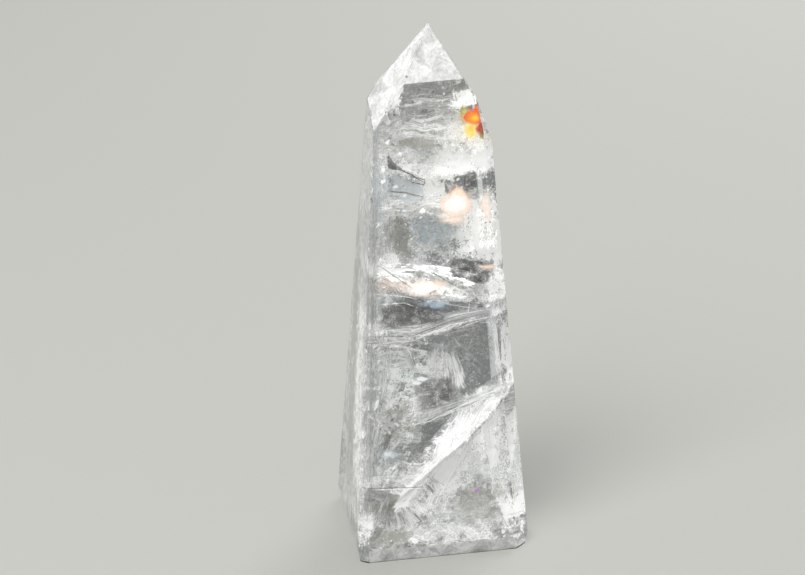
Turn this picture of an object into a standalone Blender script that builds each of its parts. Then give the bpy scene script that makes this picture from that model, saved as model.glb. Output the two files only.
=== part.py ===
"""Clear quartz ground and polished into a tapering tower with a four-sided point, as one solid.

Every flat face is a plane given by three numbers: azimuth, the way it faces seen from above (0 is
-Y, 90 is +X); lean, how far it tips back from upright; and reach, its distance from the Z axis at
the height of the base. The chips are shallow conchoidal scoops at the shoulders and edges, and the
fractures are thin wavy gaps that run in from the right side.
"""

import math

import bmesh
import bpy
from mathutils import Matrix, Vector

MM = 0.001

# Azimuth and lean in degrees, reach in millimetres.
SHAFT_FACES = {
    "front": (0.0, 5.56, 11.04),
    "right": (90.0, 4.55, 11.55),
    "back": (180.0, 8.00, 11.20),
    "left": (-91.15, 3.30, 11.55),
    "front_right_chamfer": (40.5, 7.33, 14.76),
    "back_right_chamfer": (126.0, 8.53, 14.965),
    "back_left_chamfer": (-147.0, 8.49, 13.75),
    "front_left_chamfer": (-37.3, 5.84, 15.205),
}
POINT_FACES = {
    "point_front": (-0.87, 28.66, 39.67),
    "point_right": (88.8, 31.70, 42.95),
    "point_right_lower": (90.4, 21.05, 28.47),
    "point_back": (-174.7, 18.50, 22.40),
    "point_left": (-75.4, 34.41, 49.04),
}

BASE_BEVEL_HEIGHT = 1.9 * MM
BASE_BEVEL_INSET = 0.43 * MM

EDGE_ROUND = 0.13 * MM
EDGE_ROUND_STEPS = 2

# The two faces whose edge the chip is on and its height there, the way it opens (azimuth, lean),
# its width, height and depth, and how far it is turned about the way it opens.
CHIPS = (
    (("right", "front_right_chamfer"), 55.7, (66.0, 8.0), (2.4, 1.9, 0.20), 10.0),
    (("point_left", "front"), 62.1, (-32.0, 24.0), (0.85, 2.70, 0.26), 32.0),
    (("point_left", "front"), 60.4, (-40.0, 26.0), (0.80, 2.60, 0.24), 26.0),
    (("point_left", "left"), 59.2, (-82.0, 20.0), (1.50, 1.20, 0.16), -12.0),
    (("front", "front_left_chamfer"), 49.3, (-20.0, 5.0), (0.60, 1.60, 0.10), 0.0),
    (("front_right_chamfer", "right"), 29.6, (66.0, 6.0), (0.70, 1.70, 0.12), 6.0),
    (("left", "front_left_chamfer"), 3.1, (-64.0, 2.0), (0.90, 1.30, 0.14), 16.0),
    (("back", "back_left_chamfer"), 21.4, (-164.0, 8.0), (0.90, 2.10, 0.13), -8.0),
    (("point_back", "point_left"), 65.2, (-120.0, 40.0), (0.80, 1.40, 0.14), 14.0),
)

# Thin gaps that run into the stone from its right side: the middle of the gap (x, y, z) and its
# half-lengths along X and across it, in millimetres, the way it faces (azimuth, lean), and the
# phase of its waves in degrees.
FRACTURES = {
    "upper": ((1.2, -0.96, 35.7), (9.7, 5.7), (50.3, 75.2), 20.0),
    "middle": ((1.1, -0.76, 30.4), (10.0, 6.4), (-117.7, 78.9), 140.0),
    "lower": ((2.3, -2.50, 15.1), (12.9, 5.6), (-87.6, 44.8), 260.0),
}
FRACTURE_GAP = 0.16 * MM
FRACTURE_WAVE = 0.12 * MM
FRACTURE_WAVELENGTH = 6.5 * MM
FRACTURE_RINGS = 6
FRACTURE_SPOKES = 24

CHIP_SUBDIVISIONS = 4
BLANK_HALF_WIDTH = 20.0 * MM
BLANK_HEIGHT = 90.0 * MM
SAME_POINT = 1e-7


def face_plane(azimuth, lean, reach):
    """A point on the face and the outward direction of the face."""
    turn = math.radians(azimuth)
    tip = math.radians(lean)
    outward = Vector((math.sin(turn), -math.cos(turn), 0.0))
    normal = outward * math.cos(tip) + Vector((0.0, 0.0, math.sin(tip)))
    return outward * reach * MM, normal


def bevel_plane(azimuth, lean, reach):
    """The base bevel under one shaft face."""
    turn = math.radians(azimuth)
    outward = Vector((math.sin(turn), -math.cos(turn), 0.0))
    foot = reach * MM - BASE_BEVEL_INSET
    top = reach * MM - BASE_BEVEL_HEIGHT * math.tan(math.radians(lean))
    normal = outward * BASE_BEVEL_HEIGHT - Vector((0.0, 0.0, top - foot))
    return outward * foot, normal.normalized()


def keep_inside(mesh, point, normal):
    """Cuts off what lies outside the plane and closes the cut."""
    geometry = mesh.verts[:] + mesh.edges[:] + mesh.faces[:]
    cut = bmesh.ops.bisect_plane(
        mesh,
        geom=geometry,
        dist=SAME_POINT,
        plane_co=point,
        plane_no=normal,
        clear_outer=True,
    )
    rim = [part for part in cut["geom_cut"] if isinstance(part, bmesh.types.BMEdge)]
    if rim:
        bmesh.ops.contextual_create(mesh, geom=rim)


def ground_solid():
    mesh = bmesh.new()
    size = (2 * BLANK_HALF_WIDTH, 2 * BLANK_HALF_WIDTH, BLANK_HEIGHT)
    lifted = Matrix.Translation((0.0, 0.0, BLANK_HEIGHT / 2))
    bmesh.ops.create_cube(mesh, size=1.0, matrix=lifted @ Matrix.Diagonal((*size, 1.0)))
    for face in SHAFT_FACES.values():
        keep_inside(mesh, *face_plane(*face))
    for face in POINT_FACES.values():
        keep_inside(mesh, *face_plane(*face))
    for face in SHAFT_FACES.values():
        keep_inside(mesh, *bevel_plane(*face))
    bmesh.ops.remove_doubles(mesh, verts=mesh.verts[:], dist=SAME_POINT)
    bmesh.ops.recalc_face_normals(mesh, faces=mesh.faces[:])
    return mesh


def round_edges(mesh):
    """Softens every edge above the flat base, as polishing does."""
    edges = [edge for edge in mesh.edges if max(vert.co.z for vert in edge.verts) > SAME_POINT]
    bmesh.ops.bevel(
        mesh,
        geom=edges,
        offset=EDGE_ROUND,
        offset_type="WIDTH",
        segments=EDGE_ROUND_STEPS,
        profile=0.5,
        affect="EDGES",
        clamp_overlap=True,
    )
    bmesh.ops.recalc_face_normals(mesh, faces=mesh.faces[:])


def edge_point(names, height):
    """Where the edge between two faces passes a height."""
    faces = {**SHAFT_FACES, **POINT_FACES}
    (first, across), (second, along) = (face_plane(*faces[name]) for name in names)
    up = Vector((0.0, 0.0, 1.0))
    reaches = Vector((first.dot(across), second.dot(along), height * MM))
    return Matrix((across, along, up)).inverted() @ reaches


def chip_matrix(names, height, opens, size, turn):
    """Carries a unit sphere to a scoop of the given size at the edge between two faces."""
    _, normal = face_plane(*opens, 0.0)
    width, tall, depth = (value * MM for value in size)
    aim = normal.to_track_quat("Z", "Y").to_matrix().to_4x4()
    spin = Matrix.Rotation(math.radians(turn), 4, "Z")
    # The sphere's centre stands one depth off the edge and its semi-axis is two depths, so level
    # with the edge its section has shrunk by the cosine of 30 degrees.
    shrink = math.cos(math.radians(30.0))
    semi_axes = (width / 2 / shrink, tall / 2 / shrink, 2 * depth, 1.0)
    centre = edge_point(names, height) + normal * depth
    return Matrix.Translation(centre) @ aim @ spin @ Matrix.Diagonal(semi_axes)


def chip_shapes():
    mesh = bmesh.new()
    for chip in CHIPS:
        bmesh.ops.create_icosphere(
            mesh, subdivisions=CHIP_SUBDIVISIONS, radius=1.0, matrix=chip_matrix(*chip)
        )
    bmesh.ops.recalc_face_normals(mesh, faces=mesh.faces[:])
    return mesh


def fracture_axes(azimuth, lean):
    """The way a fracture faces, its length as near to X as it can lie, and its breadth."""
    _, normal = face_plane(azimuth, lean, 0.0)
    sideways = Vector((1.0, 0.0, 0.0))
    along = (sideways - normal * sideways.dot(normal)).normalized()
    return normal, along, normal.cross(along)


def add_fracture(mesh, middle, half_lengths, faces, phase):
    """Adds a wavy sheet, thickest in the middle and closed round its uneven rim."""
    normal, along, across = fracture_axes(*faces)
    centre = Vector(middle) * MM
    shift = math.radians(phase)

    def spot(ring, spoke, side):
        angle = math.tau * spoke / FRACTURE_SPOKES
        share = ring / FRACTURE_RINGS
        uneven = 1.0 + 0.06 * math.sin(3 * angle + shift) + 0.04 * math.sin(5 * angle - shift)
        right = half_lengths[0] * MM * share * uneven * math.cos(angle)
        up = half_lengths[1] * MM * share * uneven * math.sin(angle)
        wave = math.sin(math.tau * right / FRACTURE_WAVELENGTH + shift)
        wave += math.sin(math.tau * (up + right / 2) / FRACTURE_WAVELENGTH - shift)
        gap = side * FRACTURE_GAP / 2 * math.sqrt(1.0 - share**2)
        return centre + along * right + across * up + normal * (FRACTURE_WAVE / 2 * wave + gap)

    rings = range(1, FRACTURE_RINGS)
    spokes = range(FRACTURE_SPOKES)
    rim = [mesh.verts.new(spot(FRACTURE_RINGS, spoke, 0)) for spoke in spokes]
    for side in (1, -1):
        hub = mesh.verts.new(spot(0, 0, side))
        rows = [[mesh.verts.new(spot(ring, spoke, side)) for spoke in spokes] for ring in rings]
        rows.append(rim)
        for spoke in spokes:
            after = (spoke + 1) % FRACTURE_SPOKES
            mesh.faces.new((hub, rows[0][spoke], rows[0][after]))
            for inner, outer in zip(rows, rows[1:]):
                mesh.faces.new((inner[spoke], outer[spoke], outer[after]))
                mesh.faces.new((inner[spoke], outer[after], inner[after]))


def fracture_shapes():
    mesh = bmesh.new()
    for fracture in FRACTURES.values():
        add_fracture(mesh, *fracture)
    bmesh.ops.recalc_face_normals(mesh, faces=mesh.faces[:])
    return mesh


def add_object(name, mesh):
    data = bpy.data.meshes.new(name)
    mesh.to_mesh(data)
    mesh.free()
    item = bpy.data.objects.new(name, data)
    bpy.context.scene.collection.objects.link(item)
    return item


def cut_away(solid, name, shapes):
    cutter = add_object(name, shapes)
    cuts = solid.modifiers.new(name, "BOOLEAN")
    cuts.operation = "DIFFERENCE"
    cuts.solver = "EXACT"
    cuts.object = cutter
    bpy.context.view_layer.update()
    graph = bpy.context.evaluated_depsgraph_get()
    cut = bpy.data.meshes.new_from_object(solid.evaluated_get(graph))
    solid.modifiers.remove(cuts)
    solid.data = cut
    bpy.data.objects.remove(cutter, do_unlink=True)


def centre_on_base(solid):
    """Puts the middle of the bounding box on the Z axis and its underside at height zero."""
    corners = [vert.co for vert in solid.data.vertices]
    low = [min(corner[axis] for corner in corners) for axis in range(3)]
    high = [max(corner[axis] for corner in corners) for axis in range(3)]
    shift = Vector((-(low[0] + high[0]) / 2, -(low[1] + high[1]) / 2, -low[2]))
    solid.data.transform(Matrix.Translation(shift))


def clear_quartz():
    material = bpy.data.materials.new("clear_quartz")
    material.use_nodes = True
    shader = material.node_tree.nodes["Principled BSDF"]
    shader.inputs["Base Color"].default_value = (0.93, 0.94, 0.94, 1.0)
    shader.inputs["Roughness"].default_value = 0.03
    shader.inputs["IOR"].default_value = 1.544
    shader.inputs["Transmission Weight"].default_value = 1.0
    return material


def main():
    for item in list(bpy.data.objects):
        bpy.data.objects.remove(item, do_unlink=True)
    mesh = ground_solid()
    round_edges(mesh)
    crystal = add_object("crystal", mesh)
    cut_away(crystal, "chips", chip_shapes())
    cut_away(crystal, "fractures", fracture_shapes())
    centre_on_base(crystal)
    crystal.data.materials.clear()
    crystal.data.materials.append(clear_quartz())


main()
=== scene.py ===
"""Clear quartz tower with the veils, fractures and specks that lie inside it.

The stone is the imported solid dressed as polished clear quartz. What lies inside is placed along
lines of sight: a place is a point of the 805 by 575 picture and a depth, 0 where the line enters
the stone and 1 where, bent by the face it came in through, it leaves again.
"""

import math
import random

import bpy
from bpy.props import FloatProperty, FloatVectorProperty, IntProperty, PointerProperty
from mathutils import Matrix, Quaternion, Vector, noise
from mathutils.bvhtree import BVHTree


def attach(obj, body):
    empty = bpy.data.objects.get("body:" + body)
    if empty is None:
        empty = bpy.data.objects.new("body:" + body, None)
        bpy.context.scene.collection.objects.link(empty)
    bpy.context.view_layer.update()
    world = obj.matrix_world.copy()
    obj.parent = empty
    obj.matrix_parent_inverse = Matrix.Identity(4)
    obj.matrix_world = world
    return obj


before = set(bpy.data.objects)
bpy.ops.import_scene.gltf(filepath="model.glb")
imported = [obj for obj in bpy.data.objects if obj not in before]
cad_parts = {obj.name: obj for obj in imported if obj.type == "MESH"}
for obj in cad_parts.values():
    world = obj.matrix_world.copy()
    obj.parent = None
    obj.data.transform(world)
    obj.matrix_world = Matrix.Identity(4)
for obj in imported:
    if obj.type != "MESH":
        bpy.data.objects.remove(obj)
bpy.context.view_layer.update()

bl_info = {
    "name": "Flawed Quartz Tower",
    "version": (1, 0, 0),
    "blender": (4, 5, 0),
    "location": "3D View > Sidebar > Quartz",
    "description": "Dresses a polished quartz tower with its inner veils and fractures",
    "category": "Add Mesh",
}

MM = 0.001
PICTURE_WIDTH = 805
PICTURE_HEIGHT = 575
SENSOR_WIDTH = 36.0

# The stone's flat faces by the way they face: (azimuth, lean) in degrees.
FACES = {
    "front": (0.0, 5.56),
    "left": (-91.15, 3.30),
    "right": (90.0, 4.55),
    "back": (180.0, 8.00),
    "front_left_chamfer": (-37.3, 5.84),
    "front_right_chamfer": (40.5, 7.33),
    "back_right_chamfer": (126.0, 8.53),
    "back_left_chamfer": (-147.0, 8.49),
    "point_front": (-0.87, 28.66),
    "point_left": (-75.4, 34.41),
    "point_right": (88.8, 31.70),
    "point_back": (-174.7, 18.50),
    "base": (180.0, -90.0),
    "base_front": (0.0, -7.5),
    "base_left": (-91.15, -9.8),
    "base_right": (90.0, -8.6),
    "base_back": (180.0, -5.2),
}
SAME_WAY = 0.9999

# How far inside a line of sight starts, and how near the surface the flaws may come.
FIRST_STEP = 0.1 * MM
SKIN = 0.12 * MM
SPECK_SKIN = 0.5 * MM
LINE_SKIN = 0.06 * MM


class StoneSettings(bpy.types.PropertyGroup):
    """Sizes and colours of the clear stone."""

    tint: FloatVectorProperty(
        name="Tint",
        description="Colour of the clear quartz",
        subtype="COLOR",
        size=3,
        min=0,
        max=1,
        default=(0.985, 0.99, 0.985),
    )
    ior: FloatProperty(
        name="Refractive Index",
        description="How strongly the quartz bends light",
        min=1,
        max=2,
        default=1.544,
    )
    polish: FloatProperty(
        name="Polish",
        description="Roughness of the polished faces",
        subtype="FACTOR",
        min=0,
        max=1,
        default=0.02,
    )
    depth_colour: FloatVectorProperty(
        name="Depth Colour",
        description="Colour that light takes on inside the stone",
        subtype="COLOR",
        size=3,
        min=0,
        max=1,
        default=(0.78, 0.82, 0.80),
    )
    depth_density: FloatProperty(
        name="Depth Density",
        description="How fast light takes on the depth colour, per metre",
        min=0,
        max=100,
        default=16.0,
    )


class FlawSettings(bpy.types.PropertyGroup):
    """What lies inside the stone."""

    cloudiness: FloatProperty(
        name="Cloudiness",
        description="How densely the veils cover, against the densities that they are listed with",
        min=0,
        max=3,
        default=1.0,
    )
    flake_share: FloatProperty(
        name="Flakes",
        description="How many flakes there are, against the numbers that they are listed with",
        min=0,
        max=3,
        default=1.0,
    )
    sheet_pitch: FloatProperty(
        name="Sheet Pitch",
        description="Spacing of the points that a veil is made of",
        subtype="DISTANCE",
        min=0.1 * MM,
        max=2 * MM,
        default=0.28 * MM,
    )
    seed: IntProperty(
        name="Seed",
        description="Start of the scatter of flakes and specks",
        default=11,
    )


class StageSettings(bpy.types.PropertyGroup):
    """Floor, light and camera."""

    floor_colour: FloatVectorProperty(
        name="Floor",
        description="Colour of the pale floor",
        subtype="COLOR",
        size=3,
        min=0,
        max=1,
        default=(0.56, 0.56, 0.525),
    )
    # Painted shade: the colour that the floor takes where it is seen through the stone.
    seen_through_painted_shade: FloatVectorProperty(
        name="Floor Through Stone",
        description="How dark the floor is where it is seen through the stone",
        subtype="COLOR",
        size=3,
        min=0,
        max=1,
        default=(0.145, 0.15, 0.149),
    )
    key_power: FloatProperty(
        name="Key Light",
        description="Power of the large soft light",
        subtype="POWER",
        default=2.4,
    )
    sky_strength: FloatProperty(
        name="Surrounding Light",
        description="Strength of the even light from all round",
        min=0,
        default=0.52,
    )
    eye: FloatVectorProperty(
        name="Camera Place",
        description="Where the camera stands",
        subtype="TRANSLATION",
        unit="LENGTH",
        size=3,
        default=(-53.51 * MM, -264.56 * MM, 147.14 * MM),
    )
    yaw: FloatProperty(
        name="Camera Yaw",
        description="Turn of the camera to the right of the +Y axis",
        subtype="ANGLE",
        default=math.radians(10.70),
    )
    pitch: FloatProperty(
        name="Camera Pitch",
        description="How far the camera looks down",
        subtype="ANGLE",
        default=math.radians(22.72),
    )
    roll: FloatProperty(
        name="Camera Roll",
        description="How far the camera is tipped about its own axis",
        subtype="ANGLE",
        default=math.radians(-0.27),
    )
    lens: FloatProperty(
        name="Lens",
        description="Focal length in millimetres on a frame 36 mm wide",
        min=1,
        default=100.0,
    )


def face_direction(name):
    turn, tip = (math.radians(angle) for angle in FACES[name])
    outward = Vector((math.sin(turn), -math.cos(turn), 0.0)) * math.cos(tip)
    outward.z = math.sin(tip)
    return outward


class Sight:
    """The camera's place and the lines of sight through points of the picture."""

    def __init__(self, stage):
        self.eye = Vector(stage.eye)
        level = Vector((math.sin(stage.yaw), math.cos(stage.yaw), 0.0))
        self.forward = level * math.cos(stage.pitch) - Vector((0, 0, math.sin(stage.pitch)))
        right = self.forward.cross(Vector((0, 0, 1))).normalized()
        up = right.cross(self.forward)
        turn, side = math.cos(stage.roll), math.sin(stage.roll)
        self.right = right * turn + up * side
        self.up = up * turn - right * side
        self.reach = stage.lens / SENSOR_WIDTH * PICTURE_WIDTH

    def line(self, across, down):
        aim = self.forward * self.reach
        aim += self.right * (across - PICTURE_WIDTH / 2)
        aim -= self.up * (down - PICTURE_HEIGHT / 2)
        return aim.normalized()

    def matrix(self):
        turn = Matrix((self.right, self.up, -self.forward)).transposed().to_4x4()
        return Matrix.Translation(self.eye) @ turn


class Stone:
    """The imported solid, for placing things inside it."""

    def __init__(self, scene):
        self.sight = Sight(scene.quartz_stage)
        self.ior = scene.quartz_stone.ior
        self.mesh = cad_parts["crystal"].data
        corners = [vert.co.copy() for vert in self.mesh.vertices]
        rings = [list(p.vertices) for p in self.mesh.polygons]
        self.tree = BVHTree.FromPolygons(corners, rings)
        self.planes = {}
        for name in FACES:
            largest = self.face(name)[0]
            self.planes[name] = (largest.center.copy(), largest.normal.copy())

    def face(self, name):
        """The flat polygons of one face, largest first."""
        outward = face_direction(name)
        flat = [p for p in self.mesh.polygons if p.normal.dot(outward) > SAME_WAY]
        if not flat:
            raise RuntimeError(f"the packed solid has no {name} face")
        return sorted(flat, key=lambda p: -p.area)

    def place(self, across, down, depth, face="front"):
        """The point at a depth along the line of sight through a picture point."""
        start, aim = self.sight.eye, self.sight.line(across, down)
        centre, normal = self.planes[face]
        entry = start + aim * ((centre - start).dot(normal) / aim.dot(normal))
        squeeze = 1.0 / self.ior
        head_on = -aim.dot(normal)
        inner = math.sqrt(1.0 - squeeze**2 * (1.0 - head_on**2))
        bent = aim * squeeze + normal * (squeeze * head_on - inner)
        hit, outward, _, length = self.tree.ray_cast(entry + bent * FIRST_STEP, bent)
        if hit is not None and outward.dot(bent) < 0.0:
            hit, _, _, further = self.tree.ray_cast(hit + bent * FIRST_STEP, bent)
            length += FIRST_STEP + (further or 0.0)
        if hit is None:
            near, outward, _, _ = self.tree.find_nearest(entry)
            return near - outward * (2 * FIRST_STEP)
        return entry + bent * (FIRST_STEP + length * depth)

    def keep_in(self, point, margin=SKIN):
        """Moves a point that lies too near the surface, or outside it, back in."""
        near, outward, _, _ = self.tree.find_nearest(point)
        if (point - near).dot(outward) > -margin:
            return near - outward * margin
        return point


class Link:
    """A shader socket that can stand in sums."""

    def __init__(self, graph, socket):
        self.graph = graph
        self.socket = socket

    def maths(self, operation, *values):
        return self.graph.node("ShaderNodeMath", {"operation": operation}, dict(enumerate(values)))

    def __add__(self, other):
        return self.maths("ADD", self, other)

    def __sub__(self, other):
        return self.maths("SUBTRACT", self, other)

    def __rsub__(self, other):
        return self.maths("SUBTRACT", other, self)

    def __mul__(self, other):
        return self.maths("MULTIPLY", self, other)

    __radd__ = __add__
    __rmul__ = __mul__


class Graph:
    """The nodes of one material."""

    def __init__(self, tree):
        self.tree = tree

    def node(self, kind, settings=None, values=None, output=0):
        """Adds a node: first its settings, then the values or links of its sockets."""
        node = self.tree.nodes.new(kind)
        for name, value in (settings or {}).items():
            setattr(node, name, value)
        for key, value in (values or {}).items():
            if isinstance(value, Link):
                self.tree.links.new(value.socket, node.inputs[key])
            else:
                node.inputs[key].default_value = value
        return Link(self, node.outputs[output])

    def ramp(self, share, stops):
        """Colours in order along 0 to 1."""
        link = self.node("ShaderNodeValToRGB", None, {0: share})
        elements = link.socket.node.color_ramp.elements
        elements.remove(elements[1])
        elements[0].position, elements[0].color = stops[0][0], (*stops[0][1], 1.0)
        for position, colour in stops[1:]:
            elements.new(position).color = (*colour, 1.0)
        return link

    def smooth(self, value, low, high):
        """0 below low, 1 above high and an even curve between them."""
        values = {"Value": value, "From Min": low, "From Max": high}
        return self.node("ShaderNodeMapRange", {"interpolation_type": "SMOOTHSTEP"}, values)

    def mix(self, share, first, second):
        """Blends two colours."""
        ends = {0: share, 6: (*first, 1.0), 7: (*second, 1.0)}
        return self.node("ShaderNodeMix", {"data_type": "RGBA"}, ends, output=2)

    def grain(self, where, scale, detail=2.0, roughness=0.5):
        """Noise over the flat of a sheet."""
        values = {"Vector": where, "Scale": scale, "Detail": detail, "Roughness": roughness}
        return self.node("ShaderNodeTexNoise", {"noise_dimensions": "2D"}, values)

    def show(self, shader, volume=None):
        out = self.tree.nodes.new("ShaderNodeOutputMaterial")
        self.tree.links.new(shader.socket, out.inputs["Surface"])
        if volume is not None:
            self.tree.links.new(volume.socket, out.inputs["Volume"])


def new_graph(name):
    material = bpy.data.materials.new(name)
    material.use_nodes = True
    material.node_tree.nodes.clear()
    return material, Graph(material.node_tree)


def clear_quartz(settings):
    material, graph = new_graph("polished_quartz")
    where = graph.node("ShaderNodeTexCoord", output=3)
    waves = graph.node("ShaderNodeTexNoise", None, {"Vector": where, "Scale": 420.0, "Detail": 2.0})
    normal = graph.node(
        "ShaderNodeBump", None, {"Height": waves, "Strength": 0.05, "Distance": 0.02 * MM}
    )
    glass = graph.node(
        "ShaderNodeBsdfPrincipled",
        None,
        {
            "Base Color": (*settings.tint, 1.0),
            "Roughness": settings.polish,
            "IOR": settings.ior,
            "Transmission Weight": 1.0,
            "Normal": normal,
        },
    )
    lamp_side = graph.node("ShaderNodeBsdfTransparent", None, {"Color": (0.86, 0.86, 0.86, 1.0)})
    lamp_ray = graph.node("ShaderNodeLightPath", output=1)
    shader = graph.node("ShaderNodeMixShader", None, {0: lamp_ray, 1: glass, 2: lamp_side})
    depth = graph.node(
        "ShaderNodeVolumeAbsorption",
        None,
        {"Color": (*settings.depth_colour, 1.0), "Density": settings.depth_density},
    )
    graph.show(shader, depth)
    return material


# How a flaw's grain is made, how its thickness and grain lighten or darken it, and where its
# painted glow starts and is full.
WARP_SCALE = 0.35
FINE_SCALE = 5.5
MIDDLE_GRAIN = 0.5
EVEN_COVER = 0.8
THICKNESS_LIGHTENS = 0.35
GRAIN_LIGHTENS = 1.4
FINE_GRAIN_LIGHTENS = 1.1
FILM_SPREAD = 0.35
GLOW_FROM = 0.3
GLOW_FULL = 1.1
NO_EMBER = (0.0, 0.0, 0.0)


def flaw_material(name, look):
    """Flaws of one look: its colours, its painted glow, its grain and how it fades out."""
    material, graph = new_graph(name)
    where = graph.node("ShaderNodeUVMap", {"uv_map": "span"})
    stretched = graph.node(
        "ShaderNodeMapping", None, {"Vector": where, "Scale": (*look["grain"], 1.0)}
    )
    warp = graph.node(
        "ShaderNodeTexNoise",
        {"noise_dimensions": "2D"},
        {"Vector": where, "Scale": WARP_SCALE, "Detail": 3.0},
        output=1,
    )
    bent = graph.node(
        "ShaderNodeVectorMath",
        {"operation": "MULTIPLY_ADD"},
        {0: warp, 1: (look["warp"],) * 3, 2: stretched},
    )
    coarse = graph.grain(bent, 1.0, 8.0, look["crisp"])
    fine = graph.grain(bent, FINE_SCALE, 3.0, 0.6) - MIDDLE_GRAIN
    cells = graph.node(
        "ShaderNodeTexVoronoi",
        {"voronoi_dimensions": "2D"},
        {"Vector": bent, "Scale": look["cells"]},
        output=1,
    )
    shard = graph.node("ShaderNodeRGBToBW", None, {0: cells})
    broken = coarse * (1.0 - look["flakes"]) + shard * look["flakes"]
    cover = graph.node("ShaderNodeAttribute", {"attribute_name": "cover"}, output=2)
    tone = graph.node("ShaderNodeAttribute", {"attribute_name": "tone"}, output=2)
    uneven = broken - MIDDLE_GRAIN
    thick = cover + uneven * look["contrast"] + fine * look["grit"]
    alpha = graph.smooth(thick, 0.5 - look["fade"], 0.5 + look["fade"]) * look["body"]
    # Emission Color carries painted glow: light the flaws give off, beyond what the lamps give them.
    if "film" in look:
        colour = graph.ramp(tone + uneven * FILM_SPREAD, look["film"])
        painted_glow = colour
    else:
        light = tone + (thick - EVEN_COVER) * THICKNESS_LIGHTENS
        light = light + uneven * GRAIN_LIGHTENS + fine * FINE_GRAIN_LIGHTENS
        colour = graph.mix(graph.smooth(light, 0.0, 1.0), look["shade"], look["light"])
        # Painted highlight: the lightest parts glow in the light colour, the dark parts in the ember
        # one.
        bright = graph.smooth(light, GLOW_FROM, GLOW_FULL)
        painted_glow = graph.mix(bright, look.get("ember", NO_EMBER), look["light"])
    bump = graph.node(
        "ShaderNodeBump", None, {"Height": broken, "Strength": 0.6, "Distance": look["relief"] * MM}
    )
    shader = graph.node(
        "ShaderNodeBsdfPrincipled",
        None,
        {
            "Base Color": colour,
            "Roughness": look["rough"],
            "Alpha": alpha,
            "Emission Color": painted_glow,
            "Emission Strength": look["glow"],
            "Normal": bump,
        },
    )
    graph.show(shader)
    return material
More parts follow.
